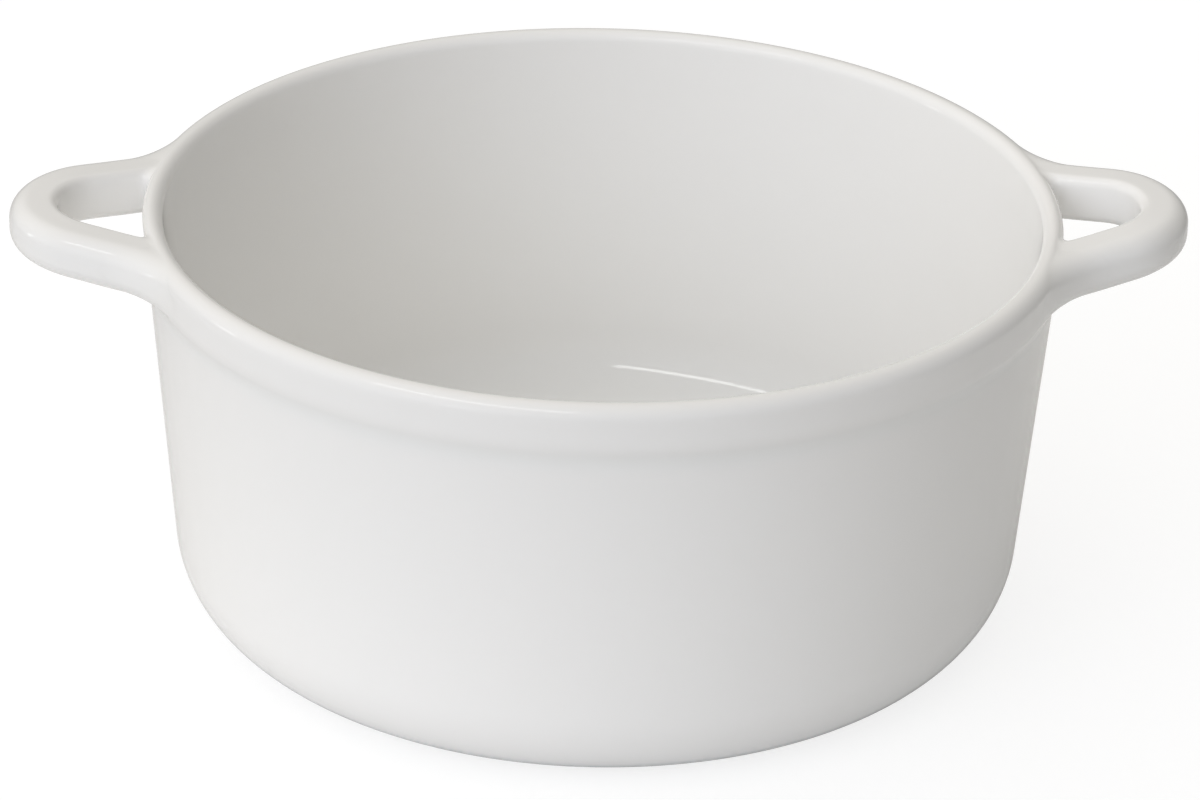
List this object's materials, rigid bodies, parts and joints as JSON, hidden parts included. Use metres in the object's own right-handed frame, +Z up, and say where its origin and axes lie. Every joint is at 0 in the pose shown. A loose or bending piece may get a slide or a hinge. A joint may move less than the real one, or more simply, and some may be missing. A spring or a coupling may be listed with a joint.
{
  "type": "cocotte",
  "caption": "Round white porcelain cooking pot with a rolled rim, a leaning wall with a rounded heel, a foot ring and a loop handle on each side.",
  "frame": {"origin": "centre of the foot ring, on the surface that the pot stands on", "axes": "+Z up along the pot's axis, +X towards the right-hand handle as the picture shows it, -Y towards the viewer"},
  "size_m": [0.3046, 0.239, 0.1148],
  "materials": {
    "glaze": "gloss white glaze over porcelain",
    "bare_porcelain": "unglazed, fired matt"
  },
  "bodies": {
    "root": {"pot_body": "glaze", "right_handle": "glaze", "left_handle": "glaze", "right_front_slip": "bare_porcelain", "right_rear_slip": "bare_porcelain", "left_front_slip": "bare_porcelain", "left_rear_slip": "bare_porcelain"}
  },
  "joints": []
}
